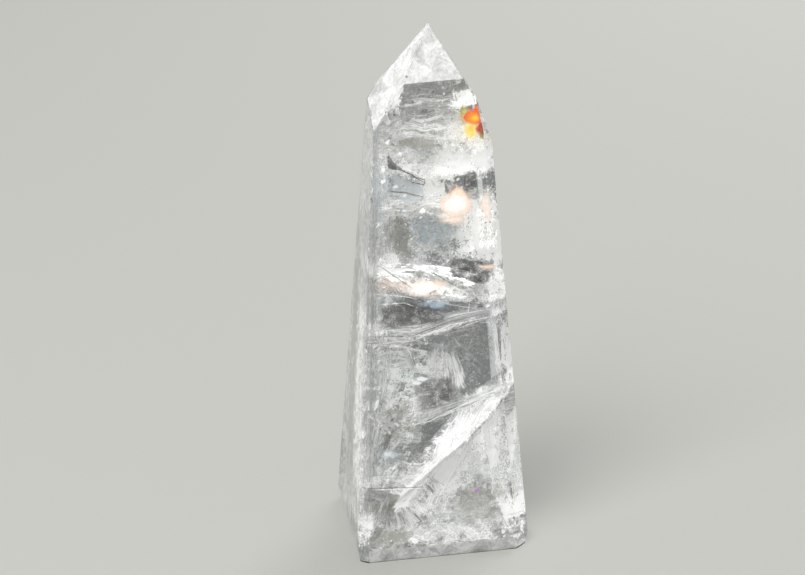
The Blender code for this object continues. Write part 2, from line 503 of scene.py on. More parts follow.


# Each look: how its grain is stretched along and across a sheet, bent (warp), roughened (crisp)
# and broken into flat cells (cells for their scale, flakes for their share), how strongly the
# coarse grain (contrast) and the fine grain (grit) tear it, how softly the torn borders end
# (fade), how opaque it is at most (body) and how far the border of a sheet fades (rim), its dark
# and light colours, the colour of the painted glow on its dark parts (ember) or the colours of
# its film in order, the depth of its relief in millimetres, its roughness and its painted glow.
# The glow is painted light, an emission that lights the flaws up beyond what the lamps give them.
LOOKS = {
    "mist": {
        "grain": (0.55, 0.75), "warp": 1.3, "crisp": 0.72, "cells": 1.2, "flakes": 0.15,
        "contrast": 2.5, "grit": 1.2, "fade": 0.46, "body": 0.80, "rim": 0.6,
        "shade": (0.60, 0.61, 0.60), "light": (0.98, 0.98, 0.97),
        "relief": 0.10, "rough": 0.7, "glow": 0.16,
    },
    "veil": {
        "grain": (0.7, 0.95), "warp": 1.6, "crisp": 0.72, "cells": 1.2, "flakes": 0.2,
        "contrast": 3.0, "grit": 1.5, "fade": 0.42, "body": 0.95, "rim": 0.5,
        "shade": (0.58, 0.59, 0.59), "light": (1.0, 1.0, 0.99),
        "relief": 0.16, "rough": 0.5, "glow": 0.30,
    },
    "streak": {
        "grain": (2.4, 0.30), "warp": 1.4, "crisp": 0.68, "cells": 0.8, "flakes": 0.10,
        "contrast": 2.6, "grit": 0.9, "fade": 0.42, "body": 0.90, "rim": 0.5,
        "shade": (0.50, 0.51, 0.51), "light": (1.0, 1.0, 0.99),
        "relief": 0.14, "rough": 0.5, "glow": 0.26,
    },
    "feather": {
        "grain": (0.28, 2.3), "warp": 1.8, "crisp": 0.70, "cells": 0.8, "flakes": 0.15,
        "contrast": 2.7, "grit": 0.9, "fade": 0.36, "body": 0.92, "rim": 0.45,
        "shade": (0.42, 0.43, 0.42), "light": (1.0, 1.0, 0.99),
        "relief": 0.14, "rough": 0.45, "glow": 0.26,
    },
    "shard": {
        "grain": (0.8, 0.8), "warp": 0.9, "crisp": 0.66, "cells": 1.1, "flakes": 0.4,
        "contrast": 1.8, "grit": 1.0, "fade": 0.40, "body": 0.95, "rim": 0.5,
        "shade": (0.58, 0.59, 0.58), "light": (1.0, 1.0, 0.99),
        "relief": 0.14, "rough": 0.35, "glow": 0.30,
    },
    "flake": {
        "grain": (0.9, 0.9), "warp": 0.4, "crisp": 0.5, "cells": 1.0, "flakes": 0.2,
        "contrast": 0.6, "grit": 0.3, "fade": 0.5, "body": 0.90, "rim": 0.35,
        "shade": (0.085, 0.085, 0.08), "light": (1.0, 1.0, 0.99),
        "relief": 0.05, "rough": 0.3, "glow": 0.25,
    },
    "pane": {
        "grain": (0.35, 0.5), "warp": 0.6, "crisp": 0.6, "cells": 0.7, "flakes": 0.2,
        "contrast": 0.9, "grit": 0.5, "fade": 0.36, "body": 0.78, "rim": 0.45,
        "shade": (0.34, 0.38, 0.40), "light": (0.80, 0.84, 0.87),
        "relief": 0.05, "rough": 0.25, "glow": 0.06,
    },
    "smoke": {
        "grain": (0.7, 1.0), "warp": 1.5, "crisp": 0.70, "cells": 1.0, "flakes": 0.2,
        "contrast": 1.8, "grit": 0.9, "fade": 0.45, "body": 0.72, "rim": 0.6,
        "shade": (0.10, 0.095, 0.085), "light": (0.40, 0.39, 0.34),
        "relief": 0.05, "rough": 0.8, "glow": 0.0,
    },
    "warm": {
        "grain": (0.4, 0.5), "warp": 0.6, "crisp": 0.5, "cells": 0.6, "flakes": 0.1,
        "contrast": 0.5, "grit": 0.2, "fade": 0.5, "body": 0.92, "rim": 0.8,
        "shade": (1.0, 0.76, 0.62), "light": (1.0, 0.98, 0.95),
        "ember": (1.0, 0.70, 0.54),
        "relief": 0.02, "rough": 0.6, "glow": 0.40,
    },
    "cool": {
        "grain": (0.4, 0.5), "warp": 0.6, "crisp": 0.5, "cells": 0.6, "flakes": 0.1,
        "contrast": 0.8, "grit": 0.7, "fade": 0.5, "body": 0.92, "rim": 0.8,
        "shade": (0.62, 0.72, 0.80), "light": (1.0, 1.0, 1.0),
        "ember": (0.52, 0.66, 0.80),
        "relief": 0.02, "rough": 0.6, "glow": 0.34,
    },
    "frost": {
        "grain": (0.4, 0.4), "warp": 0.7, "crisp": 0.58, "cells": 1.0, "flakes": 0.1,
        "contrast": 0.9, "grit": 0.4, "fade": 0.5, "body": 0.90, "rim": 0.3,
        "shade": (0.74, 0.75, 0.74), "light": (0.99, 0.99, 0.98),
        "relief": 0.03, "rough": 0.6, "glow": 0.12,
    },
    "film": {
        "grain": (0.9, 0.9), "warp": 0.6, "crisp": 0.6, "cells": 1.4, "flakes": 0.2,
        "contrast": 0.5, "grit": 0.4, "fade": 0.42, "body": 0.95, "rim": 0.5,
        "film": [
            (0.0, (0.26, 0.02, 0.02)), (0.15, (0.66, 0.05, 0.02)), (0.3, (0.92, 0.15, 0.02)),
            (0.45, (1.0, 0.38, 0.02)), (0.6, (1.0, 0.72, 0.08)), (0.7, (0.96, 0.90, 0.45)),
            (0.8, (0.36, 0.33, 0.07)), (0.9, (0.10, 0.42, 0.36)), (0.95, (0.20, 0.30, 0.60)),
            (1.0, (0.45, 0.20, 0.50)),
        ],
        "relief": 0.03, "rough": 0.35, "glow": 0.35,
    },
}

# Each sheet: its look, how densely it covers, its tone from dark to light, its waviness in
# picture points, the face it is seen through, and its corners near left, near right, far right
# and far left as (across, down, depth).
SHEETS = {
    "point_streak": ("shard", 1.0, 1.0, 1, "point_front",
        ((410, 80, 0.20), (426, 76, 0.20), (437, 54, 0.30), (427, 54, 0.30))),
    "point_wisp": ("veil", 0.5, 0.8, 3, "point_front",
        ((404, 84, 0.25), (462, 80, 0.65), (433, 32, 0.70), (425, 34, 0.25))),
    "shoulder_frost": ("veil", 1.1, 0.6, 1, "point_left",
        ((375, 103, 0.05), (400, 92, 0.05), (405, 68, 0.08), (382, 76, 0.08))),
    "shoulder_finger_left": ("veil", 1.3, 0.8, 1, "front",
        ((377, 112, 0.03), (390, 112, 0.03), (396, 78, 0.03), (380, 78, 0.03))),
    "shoulder_finger_right": ("veil", 1.3, 0.8, 1, "front",
        ((386, 112, 0.03), (399, 114, 0.03), (406, 78, 0.03), (390, 78, 0.03))),
    "top_mottle": ("mist", 0.78, 0.2, 3, "front",
        ((392, 116, 0.20), (470, 112, 0.60), (468, 80, 0.80), (396, 82, 0.30))),
    "top_glare": ("veil", 1.3, 1.0, 2, "front",
        ((448, 110, 0.10), (482, 107, 0.10), (476, 84, 0.30), (450, 86, 0.30))),
    "top_ripple": ("feather", 0.60, 0.5, 3, "front",
        ((384, 112, 0.05), (470, 108, 0.05), (466, 92, 0.40), (396, 94, 0.40))),
    "upper_mist_a": ("mist", 1.0, 0.7, 4, "front",
        ((370, 160, 0.10), (494, 156, 0.50), (482, 102, 0.95), (380, 102, 0.50))),
    "upper_mist_b": ("veil", 0.72, 0.5, 5, "front",
        ((372, 156, 0.50), (494, 152, 0.10), (484, 104, 0.50), (382, 106, 0.95))),
    "upper_curls": ("feather", 0.66, 0.6, 8, "front",
        ((376, 140, 0.10), (470, 142, 0.10), (464, 108, 0.60), (386, 112, 0.60))),
    "upper_dark_streak": ("smoke", 0.95, 0.9, 2, "front",
        ((376, 151, 0.10), (452, 149, 0.10), (446, 136, 0.30), (384, 139, 0.30))),
    "right_shoulder_cloud": ("veil", 1.1, 0.8, 3, "front",
        ((440, 156, 0.10), (496, 156, 0.10), (488, 108, 0.60), (440, 104, 0.70))),
    "cloud_left": ("veil", 1.0, 0.6, 4, "front",
        ((370, 176, 0.10), (446, 184, 0.45), (450, 143, 0.95), (376, 141, 0.60))),
    "cloud_left_mist": ("mist", 1.0, 0.7, 3, "front",
        ((370, 180, 0.40), (446, 188, 0.10), (450, 143, 0.50), (376, 143, 0.90))),
    "cloud_right": ("veil", 1.45, 0.9, 4, "front",
        ((416, 188, 0.10), (498, 180, 0.40), (494, 132, 0.80), (426, 136, 0.95))),
    # Painted shade: a dark sheet that darkens a clear window of the stone.
    "dark_corner": ("flake", 1.5, 0.05, 0, "front",
        ((387, 170, 0.10), (406, 171, 0.10), (394, 163, 0.12), (387, 152, 0.12))),
    "grey_pane": ("pane", 1.2, 0.8, 1, "front",
        ((385, 199, 0.30), (428, 207, 0.30), (430, 183, 0.60), (387, 164, 0.60))),
    "left_mottle": ("cool", 0.75, 0.4, 2, "front",
        ((368, 256, 0.60), (392, 256, 0.60), (395, 152, 0.90), (373, 152, 0.90))),
    "white_knot": ("veil", 1.45, 0.8, 4, "front",
        ((412, 214, 0.30), (460, 216, 0.30), (456, 164, 0.80), (414, 160, 0.80))),
    # Painted shade: dark sheets that darken clear windows of the stone.
    "knot_window": ("flake", 1.5, 0.1, 1, "front",
        ((444, 194, 0.10), (463, 195, 0.10), (453, 181, 0.12), (444, 177, 0.12))),
    "right_window_upper": ("flake", 1.3, 0.22, 1, "front",
        ((464, 188, 0.10), (479, 188, 0.10), (478, 170, 0.12), (463, 170, 0.12))),
    "right_window_lower": ("flake", 1.0, 0.35, 1, "front",
        ((464, 200, 0.10), (480, 200, 0.10), (479, 187, 0.12), (463, 187, 0.12))),
    "middle_mist_a": ("mist", 1.05, 0.6, 4, "front",
        ((368, 230, 0.10), (499, 244, 0.50), (494, 176, 0.95), (374, 178, 0.50))),
    "middle_mist_b": ("veil", 1.05, 0.8, 4, "front",
        ((430, 264, 0.50), (501, 262, 0.10), (496, 186, 0.50), (436, 188, 0.90))),
    "middle_curls": ("feather", 0.72, 0.7, 5, "front",
        ((376, 216, 0.10), (478, 222, 0.20), (470, 188, 0.60), (380, 190, 0.50))),
    "olive_smoke": ("smoke", 0.80, 1.3, 4, "front",
        ((369, 262, 0.15), (428, 262, 0.40), (424, 198, 0.85), (372, 200, 0.60))),
    "olive_mist": ("mist", 0.72, 0.4, 4, "front",
        ((370, 264, 0.50), (460, 264, 0.10), (456, 206, 0.50), (374, 206, 0.90))),
    "blue_smoke": ("pane", 0.8, 0.2, 3, "front",
        ((408, 250, 0.10), (462, 250, 0.10), (458, 211, 0.40), (410, 211, 0.40))),
    "speckled_bed": ("veil", 0.62, 0.3, 3, "front",
        ((374, 274, 0.05), (492, 284, 0.05), (486, 242, 0.90), (378, 234, 0.90))),
    "dark_wedge": ("flake", 1.2, 0.1, 3, "front",
        ((450, 279, 0.08), (496, 288, 0.08), (490, 255, 0.12), (444, 259, 0.12))),
    "great_fracture": ("feather", 0.66, 0.4, 4, "front",
        ((369, 304, 0.03), (504, 318, 0.03), (494, 268, 0.95), (374, 254, 0.95))),
    "great_fracture_haze": ("mist", 0.75, 0.8, 4, "front",
        ((369, 302, 0.10), (504, 314, 0.20), (496, 272, 0.40), (374, 260, 0.50))),
    "bright_shard_left": ("shard", 1.2, 1.0, 1, "front",
        ((376, 279, 0.20), (408, 281, 0.20), (400, 251, 0.40), (375, 250, 0.40))),
    # Painted shade: a dark sheet that darkens a clear window of the stone.
    "window_dark": ("flake", 1.1, 0.12, 2, "front",
        ((372, 332, 0.03), (458, 321, 0.03), (444, 305, 0.05), (375, 299, 0.05))),
    "blue_streak": ("pane", 0.85, 0.1, 2, "front",
        ((369, 314, 0.05), (472, 314, 0.05), (462, 299, 0.30), (370, 292, 0.30))),
    "feather_fracture": ("feather", 0.78, 0.7, 4, "front",
        ((369, 356, 0.03), (502, 326, 0.03), (500, 298, 0.95), (371, 322, 0.95))),
    "left_arcs": ("feather", 0.78, 0.6, 7, "front",
        ((369, 382, 0.10), (420, 370, 0.10), (418, 334, 0.80), (372, 338, 0.80))),
    "arc_mist": ("mist", 0.62, 0.4, 6, "front",
        ((369, 384, 0.60), (430, 376, 0.20), (426, 330, 0.50), (372, 334, 0.90))),
    "clear_right_mist": ("mist", 0.85, 0.3, 5, "front",
        ((414, 402, 0.20), (500, 392, 0.60), (494, 312, 0.95), (416, 318, 0.50))),
    "pale_fan_left": ("mist", 1.0, 0.7, 2, "front",
        ((408, 400, 0.15), (450, 398, 0.15), (446, 336, 0.30), (434, 336, 0.30))),
    "pale_fan_right": ("streak", 1.0, 0.7, 2, "front",
        ((434, 394, 0.15), (478, 396, 0.15), (455, 344, 0.30), (440, 344, 0.30))),
    "low_cloud_a": ("veil", 0.98, 0.8, 5, "front",
        ((368, 420, 0.15), (440, 410, 0.50), (434, 358, 0.90), (374, 358, 0.50))),
    "low_cloud_b": ("mist", 0.90, 0.7, 5, "front",
        ((368, 436, 0.60), (446, 420, 0.15), (440, 372, 0.50), (373, 374, 0.90))),
    "purple_smoke": ("flake", 0.8, 0.25, 7, "front",
        ((412, 420, 0.10), (462, 412, 0.10), (456, 372, 0.20), (416, 370, 0.20))),
    "knot_smoke": ("smoke", 0.62, 1.4, 5, "front",
        ((374, 440, 0.10), (424, 436, 0.10), (420, 396, 0.40), (376, 400, 0.40))),
    "line_veil": ("feather", 0.62, 0.6, 2, "front",
        ((396, 438, 0.05), (510, 394, 0.05), (508, 376, 0.60), (399, 418, 0.60))),
    "line_mist": ("mist", 0.80, 0.5, 4, "front",
        ((368, 446, 0.30), (486, 410, 0.30), (484, 380, 0.80), (372, 410, 0.80))),
    "lens_mist": ("mist", 0.62, 0.2, 3, "front",
        ((370, 474, 0.30), (440, 470, 0.30), (444, 420, 0.80), (380, 426, 0.80))),
    "lens_dark": ("flake", 0.34, 0.15, 3, "front",
        ((374, 470, 0.05), (438, 468, 0.05), (444, 426, 0.08), (384, 430, 0.08))),
    "veil_tip": ("veil", 1.3, 0.9, 1, "front",
        ((386, 518, 0.03), (406, 514, 0.03), (428, 478, 0.05), (404, 482, 0.05))),
    "great_veil": ("veil", 1.25, 0.85, 4, "front",
        ((384, 524, 0.08), (462, 518, 0.20), (518, 376, 0.60), (456, 392, 0.40))),
    "great_veil_core": ("streak", 1.0, 0.8, 4, "front",
        ((392, 514, 0.06), (452, 504, 0.12), (508, 390, 0.40), (456, 402, 0.30))),
    "right_veil_a": ("veil", 1.1, 0.6, 5, "front",
        ((440, 514, 0.50), (520, 496, 0.15), (514, 370, 0.60), (466, 380, 0.90))),
    "right_veil_b": ("mist", 1.1, 0.7, 5, "front",
        ((432, 512, 0.15), (522, 512, 0.60), (516, 380, 0.95), (462, 386, 0.40))),
    "under_window_veil": ("veil", 1.0, 0.6, 4, "front",
        ((364, 504, 0.10), (440, 500, 0.50), (434, 454, 0.80), (371, 454, 0.40))),
    "left_edge_mist": ("mist", 1.0, 0.8, 3, "front",
        ((366, 490, 0.60), (390, 490, 0.60), (390, 384, 0.90), (369, 384, 0.90))),
    "bottom_cloud_a": ("veil", 0.85, 0.5, 5, "front",
        ((362, 562, 0.05), (522, 546, 0.40), (516, 482, 0.95), (364, 492, 0.60))),
    "bottom_cloud_b": ("mist", 1.05, 0.5, 5, "front",
        ((362, 562, 0.50), (522, 546, 0.05), (516, 478, 0.50), (366, 488, 0.95))),
    "bottom_cloud_c": ("mist", 0.8, 0.7, 5, "front",
        ((362, 562, 0.02), (524, 550, 0.02), (520, 510, 0.30), (362, 518, 0.30))),
    "bottom_smoke_left": ("smoke", 0.85, 1.0, 4, "front",
        ((364, 523, 0.08), (410, 519, 0.08), (408, 486, 0.30), (366, 486, 0.30))),
    "bottom_smoke_low": ("smoke", 0.80, 1.2, 4, "front",
        ((364, 552, 0.06), (424, 548, 0.06), (420, 524, 0.20), (364, 524, 0.20))),
    "bottom_smoke_right": ("smoke", 0.66, 1.4, 5, "front",
        ((436, 526, 0.08), (512, 522, 0.08), (510, 460, 0.40), (442, 472, 0.40))),
    "serrated_line": ("smoke", 1.2, 0.3, 2, "front",
        ((462, 544, 0.03), (508, 541, 0.03), (507, 537, 0.10), (463, 540, 0.10))),
    "edge_cloud": ("veil", 1.3, 0.9, 2, "front_right_chamfer",
        ((476, 176, 0.10), (499, 174, 0.20), (495, 128, 0.50), (472, 128, 0.50))),
    "edge_mist_upper": ("veil", 1.35, 0.9, 2, "front_right_chamfer",
        ((480, 276, 0.10), (507, 274, 0.30), (503, 184, 0.60), (479, 186, 0.50))),
    "edge_mist_middle": ("veil", 1.1, 0.7, 2, "front_right_chamfer",
        ((488, 326, 0.10), (512, 326, 0.30), (508, 258, 0.60), (484, 258, 0.50))),
    "edge_mist_low": ("veil", 0.95, 1.0, 2, "front_right_chamfer",
        ((501, 400, 0.05), (519, 400, 0.20), (513, 302, 0.40), (495, 302, 0.20))),
    "edge_veil_low": ("veil", 1.25, 0.9, 3, "front_right_chamfer",
        ((508, 550, 0.10), (533, 548, 0.30), (519, 376, 0.60), (497, 378, 0.50))),
    "chamfer_streaks": ("streak", 0.75, 0.3, 2, "front_left_chamfer",
        ((355, 556, 0.05), (368, 560, 0.20), (377, 112, 0.20), (365, 112, 0.05))),
    "chamfer_low": ("veil", 1.05, 0.7, 1, "front_left_chamfer",
        ((356, 562, 0.05), (370, 566, 0.10), (372, 452, 0.30), (360, 452, 0.20))),
    "left_face_streaks_low": ("streak", 0.75, 0.4, 3, "left",
        ((335, 554, 0.05), (368, 566, 0.20), (372, 310, 0.20), (344, 310, 0.05))),
    "left_face_streaks_high": ("streak", 0.62, 0.4, 3, "left",
        ((344, 360, 0.05), (372, 360, 0.20), (374, 96, 0.20), (360, 96, 0.05))),
    "left_face_wisp": ("smoke", 0.66, 0.9, 2, "left",
        ((341, 538, 0.02), (352, 546, 0.02), (365, 130, 0.02), (359, 130, 0.02))),
    "left_face_gleam": ("veil", 0.8, 0.9, 2, "left",
        ((349, 546, 0.03), (361, 556, 0.03), (367, 260, 0.03), (357, 260, 0.03))),
    "left_face_veil": ("veil", 0.72, 0.7, 4, "left",
        ((336, 545, 0.30), (368, 560, 0.60), (372, 112, 0.50), (360, 112, 0.20))),
}

# Faces frosted just under the surface: how densely and how light.
FROSTED_FACES = {
    "point_front": (0.80, 0.6),
    "point_left": (0.82, 0.6),
    "point_right": (0.55, 0.5),
    "point_back": (0.50, 0.5),
    "back_right_chamfer": (0.85, 0.9),
    "back_left_chamfer": (0.55, 0.5),
    "front_left_chamfer": (0.22, 0.4),
    "base": (0.60, 0.4),
    "base_front": (0.78, 0.6),
    "base_left": (0.70, 0.6),
    "base_right": (0.70, 0.6),
    "base_back": (0.70, 0.6),
}

# Each swarm of small flat flakes: look, count, sizes in millimetres, how far the flakes tilt in
# degrees, their tones, and the corners of the sheet that they lie along.
SWARMS = {
    "top_mottle_flakes": ("flake", 110, (0.15, 0.7), 50, (0.15, 1.0),
        ((398, 112, 0.05), (470, 108, 0.10), (468, 82, 0.50), (401, 84, 0.40))),
    "upper_flakes": ("flake", 210, (0.2, 1.4), 60, (0.25, 1.1),
        ((378, 152, 0.05), (488, 150, 0.30), (478, 108, 0.80), (384, 110, 0.40))),
    "cloud_flakes": ("flake", 190, (0.2, 1.2), 60, (0.45, 1.2),
        ((376, 182, 0.05), (490, 182, 0.30), (488, 148, 0.80), (380, 150, 0.40))),
    "knot_flakes": ("flake", 170, (0.2, 1.3), 60, (0.3, 1.2),
        ((388, 214, 0.05), (480, 216, 0.30), (478, 176, 0.70), (390, 186, 0.40))),
    "right_edge_flakes": ("flake", 70, (0.15, 0.7), 60, (0.1, 1.1),
        ((482, 250, 0.05), (500, 250, 0.05), (494, 168, 0.60), (480, 168, 0.60))),
    "olive_flakes": ("flake", 170, (0.15, 1.0), 60, (0.15, 0.85),
        ((376, 248, 0.05), (470, 250, 0.30), (470, 208, 0.70), (378, 206, 0.40))),
    "rainbow_flakes": ("film", 60, (0.12, 0.55), 60, (0.84, 1.0),
        ((412, 246, 0.03), (466, 244, 0.05), (462, 222, 0.30), (414, 216, 0.20))),
    "band_flakes_dark": ("flake", 260, (0.15, 0.6), 40, (0.05, 0.5),
        ((380, 262, 0.05), (484, 272, 0.05), (480, 254, 0.85), (384, 244, 0.85))),
    "band_flakes_light": ("flake", 220, (0.12, 0.45), 40, (0.7, 1.2),
        ((380, 264, 0.05), (484, 274, 0.05), (480, 254, 0.85), (384, 244, 0.85))),
    "wedge_flakes_dark": ("flake", 44, (0.6, 2.0), 25, (0.0, 0.3),
        ((452, 278, 0.05), (492, 284, 0.05), (488, 254, 0.30), (450, 256, 0.30))),
    "fracture_flakes": ("flake", 170, (0.3, 1.8), 40, (0.3, 1.2),
        ((378, 298, 0.05), (498, 310, 0.20), (492, 266, 0.90), (378, 262, 0.60))),
    "fracture_brown": ("smoke", 60, (0.3, 1.6), 40, (0.8, 1.4),
        ((384, 294, 0.05), (470, 298, 0.10), (470, 268, 0.40), (388, 264, 0.30))),
    "blue_flakes": ("flake", 90, (0.15, 0.8), 40, (0.1, 1.0),
        ((371, 312, 0.03), (476, 314, 0.05), (468, 300, 0.40), (372, 294, 0.40))),
    "feather_flakes": ("flake", 130, (0.2, 1.5), 30, (0.2, 1.1),
        ((372, 352, 0.05), (498, 324, 0.05), (496, 300, 0.90), (374, 328, 0.90))),
    "arc_flakes": ("flake", 100, (0.2, 1.2), 60, (0.1, 1.1),
        ((374, 372, 0.05), (430, 368, 0.20), (426, 334, 0.60), (376, 336, 0.30))),
    "teal_flakes": ("film", 16, (0.12, 0.35), 60, (0.87, 0.97),
        ((396, 378, 0.10), (420, 383, 0.10), (420, 375, 0.15), (396, 370, 0.15))),
    "cloud_low_flakes": ("flake", 220, (0.2, 1.8), 60, (0.3, 1.2),
        ((372, 430, 0.05), (446, 414, 0.30), (440, 364, 0.80), (376, 366, 0.40))),
    "line_flakes": ("flake", 110, (0.2, 1.0), 60, (0.2, 1.1),
        ((376, 440, 0.05), (440, 424, 0.20), (438, 400, 0.60), (378, 412, 0.40))),
    "lens_rim_flakes": ("flake", 80, (0.15, 0.7), 60, (0.1, 1.1),
        ((376, 468, 0.05), (432, 466, 0.20), (430, 440, 0.60), (378, 436, 0.40))),
    "right_veil_flakes": ("flake", 240, (0.2, 1.3), 60, (0.5, 1.2),
        ((440, 510, 0.05), (518, 500, 0.30), (510, 384, 0.80), (474, 388, 0.40))),
    "bottom_flakes": ("flake", 320, (0.2, 1.6), 60, (0.3, 1.2),
        ((366, 556, 0.03), (520, 544, 0.20), (514, 486, 0.80), (368, 490, 0.40))),
    "left_face_flakes": ("flake", 120, (0.15, 0.6), 60, (0.2, 1.2),
        ((344, 530, 0.02), (360, 545, 0.20), (369, 200, 0.20), (361, 200, 0.02))),
    "left_face_chips": ("flake", 170, (0.2, 1.3), 60, (0.0, 1.3),
        ((343, 520, 0.01), (360, 545, 0.05), (369, 160, 0.05), (362, 160, 0.01))),
}

# Each scatter of fine specks: count, sizes in millimetres, how many times longer than wide,
# their tones, and the corners of the sheet that they lie around.
SCATTERS = {
    "middle_window_specks": (34, (0.03, 0.08), 1.5, (0.4, 1.0),
        ((380, 326, 0.05), (440, 322, 0.05), (436, 304, 0.85), (380, 304, 0.85))),
    "clear_right_specks": (460, (0.025, 0.06), 3.0, (0.3, 0.9),
        ((424, 388, 0.05), (494, 388, 0.50), (490, 316, 0.90), (426, 330, 0.50))),
    "right_edge_specks": (90, (0.03, 0.07), 2.0, (0.3, 0.9),
        ((492, 400, 0.05), (512, 400, 0.05), (500, 250, 0.60), (486, 250, 0.60))),
    "lens_specks": (70, (0.03, 0.07), 1.5, (0.3, 1.0),
        ((374, 468, 0.05), (450, 462, 0.20), (450, 410, 0.80), (380, 430, 0.50))),
    "upper_specks": (220, (0.03, 0.08), 1.5, (0.1, 1.1),
        ((378, 250, 0.05), (494, 250, 0.50), (476, 92, 0.90), (386, 92, 0.50))),
    "lower_specks": (220, (0.03, 0.08), 1.5, (0.1, 1.1),
        ((368, 550, 0.05), (518, 540, 0.50), (510, 400, 0.90), (374, 400, 0.50))),
}

# Each fine line: look, tone, thickness in millimetres, and its points.
LINES = {
    "back_shoulder_line": ("shard", 1.2, 0.12, ((418, 121, 0.8), (432, 114, 0.8), (447, 108, 0.8))),
    "pane_edge_dark": ("flake", 0.0, 0.16, ((388, 168, 0.10), (400, 169.5, 0.11),
        (412, 175, 0.12), (426, 184, 0.13))),
    "pane_edge_light": ("shard", 1.2, 0.12, ((400, 166.5, 0.09), (412, 171.5, 0.10),
        (424, 178, 0.11))),
    "shard_outline": ("flake", 0.1, 0.12, ((412, 176, 0.1), (425, 180, 0.1), (424, 185, 0.1),
        (411, 182, 0.1), (412, 176, 0.1))),
    "pane_foot": ("smoke", 0.8, 0.24, ((387, 191, 0.2), (404, 192.5, 0.22), (424, 197, 0.25))),
    "fracture_rib_a": ("shard", 1.0, 0.10, ((420, 262, 0.4), (436, 272, 0.35), (452, 284, 0.3),
        (470, 296, 0.2))),
    "fracture_rib_b": ("smoke", 0.9, 0.14, ((424, 268, 0.1), (442, 278, 0.09), (462, 290, 0.08))),
    "fracture_rib_c": ("smoke", 0.7, 0.14, ((380, 266, 0.1), (394, 276, 0.09), (412, 288, 0.08))),
    "blue_streak_top": ("shard", 1.0, 0.09, ((371, 294, 0.05), (400, 296, 0.05),
        (440, 303, 0.05), (478, 309, 0.05))),
    "window_top_edge": ("feather", 1.0, 0.16, ((379, 305, 0.05), (404, 303, 0.05),
        (420, 308, 0.05), (444, 313, 0.05))),
    "window_foot_edge": ("shard", 1.0, 0.14, ((393, 323, 0.05), (410, 320, 0.05),
        (428, 321, 0.05), (444, 318, 0.05))),
    "feather_rib_a": ("shard", 1.0, 0.12, ((380, 330, 0.1), (410, 332, 0.1), (450, 316, 0.1),
        (496, 308, 0.1))),
    "feather_rib_b": ("smoke", 0.8, 0.14, ((372, 337, 0.1), (412, 336, 0.1), (452, 321, 0.1),
        (492, 312, 0.1))),
    "feather_rib_c": ("shard", 0.9, 0.12, ((372, 345, 0.1), (412, 341, 0.1), (450, 325, 0.1),
        (494, 316, 0.1))),
    "arc_a": ("shard", 0.9, 0.16, ((378, 344, 0.3), (390, 347, 0.3), (402, 346, 0.3),
        (410, 352, 0.3), (413, 362, 0.3))),
    "slant_line": ("shard", 1.1, 0.10, ((404, 427, 0.2), (430, 421, 0.2), (462, 405, 0.2),
        (504, 386, 0.2))),
    "slant_line_shadow": ("smoke", 0.6, 0.15, ((404, 429, 0.2), (430, 423.5, 0.2),
        (462, 407.5, 0.2), (480, 400, 0.2))),
    "lens_rim": ("smoke", 0.9, 0.16, ((376, 455, 0.1), (380, 446, 0.1), (388, 440, 0.1),
        (394, 430, 0.1), (406, 424, 0.1))),
    "lens_foot": ("shard", 0.9, 0.16, ((397, 460, 0.1), (410, 464, 0.1), (422, 464, 0.1),
        (428, 458, 0.1))),
    "crack_dark": ("flake", 0.0, 0.09, ((360, 488.6, 0.01), (369, 488.8, 0.01))),
    "crack_light": ("shard", 1.2, 0.10, ((369, 490, 0.01), (392, 489.4, 0.01), (424, 488.2, 0.01))),
    "crack_shadow": ("flake", 0.1, 0.08, ((369, 488.6, 0.01), (400, 487.8, 0.01),
        (428, 487, 0.01))),
    "point_glint": ("shard", 1.3, 0.45, ((440, 53.6, 0.1), (446, 51.8, 0.1))),
    "point_dark_spot": ("smoke", 0.1, 0.35, ((405, 77.5, 0.05), (409, 76.5, 0.05))),
    "shoulder_spot": ("smoke", 0.1, 0.5, ((378, 103, 0.03), (379.5, 110, 0.03))),
}
